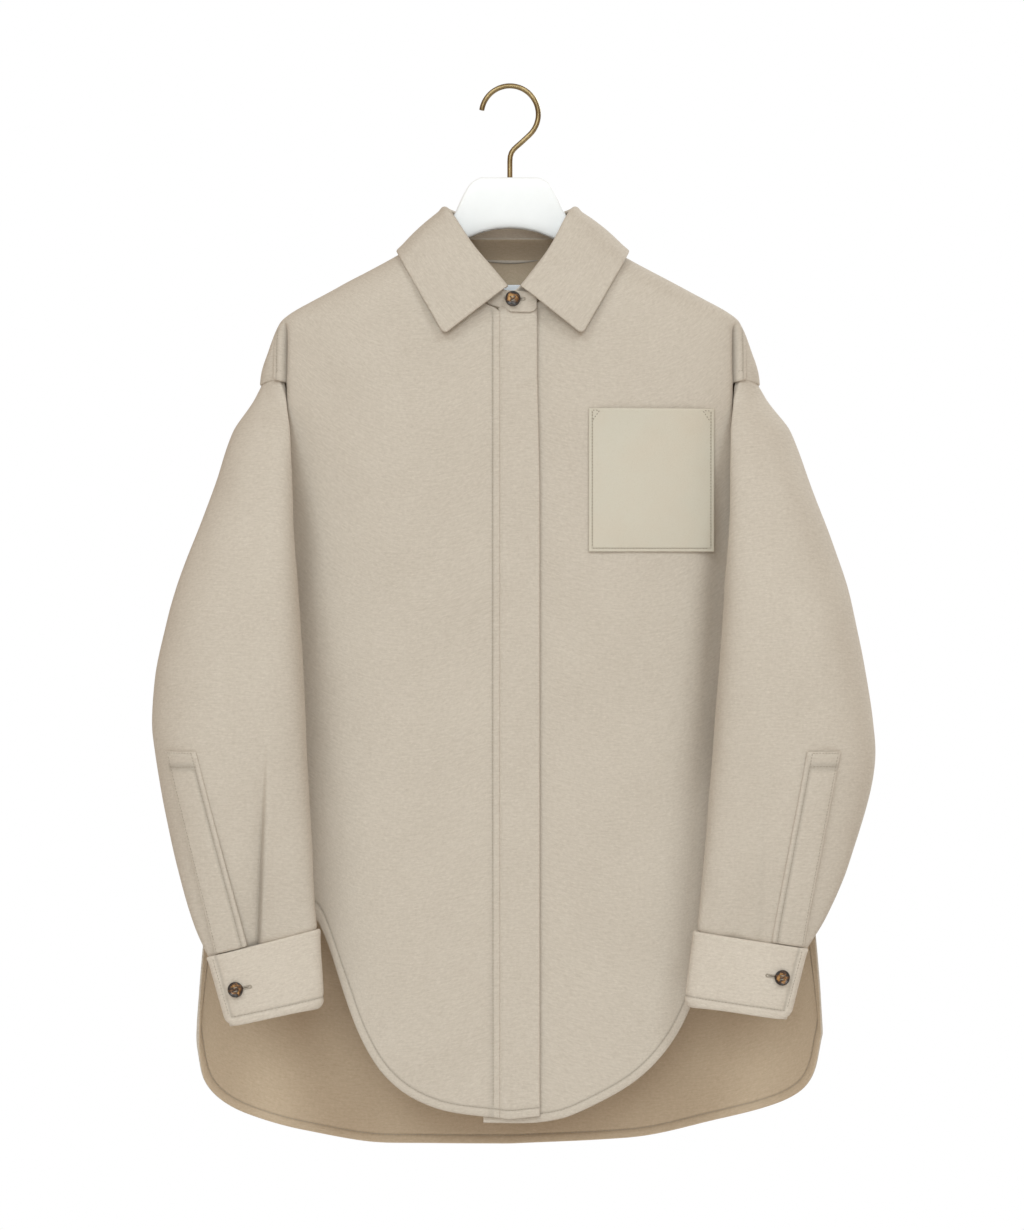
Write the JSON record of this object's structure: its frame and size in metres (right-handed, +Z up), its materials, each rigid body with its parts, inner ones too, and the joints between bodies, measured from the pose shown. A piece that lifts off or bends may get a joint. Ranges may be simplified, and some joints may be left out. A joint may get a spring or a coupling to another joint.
{
  "type": "shacket on a hanger",
  "caption": "Oversized wool shirt jacket with a pointed collar, hidden placket, leather chest pocket and curved hem, hung buttoned at the neck on a contoured hanger with a wire hook",
  "frame": {"origin": "the inside of the hook's crown, where it rests on what carries it", "axes": "+Z up, the garment's front faces -Y, +X to the viewer's right (the wearer's left)"},
  "size_m": [0.677, 0.165, 1.0128],
  "materials": {
    "wool": "matte brushed wool",
    "wool_light": "matte brushed wool",
    "leather": "smooth",
    "label_cloth": "matte",
    "horn": "gloss",
    "lacquer": "satin",
    "brass": "antique"
  },
  "bodies": {
    "root": {"front_left": "wool", "front_right": "wool", "back": "wool", "placket": "wool", "sleeve_left": "wool", "sleeve_right": "wool", "sleeve_placket_left": "wool", "sleeve_placket_right": "wool", "collar_stand": "wool_light", "collar_fall": "wool_light", "cuff_left": "wool_light", "cuff_right": "wool_light", "pocket": "leather", "neck_label": "label_cloth", "button_neck": "horn", "button_cuff_left": "horn", "button_cuff_right": "horn", "hanger": "lacquer", "hook": "brass"}
  },
  "joints": []
}
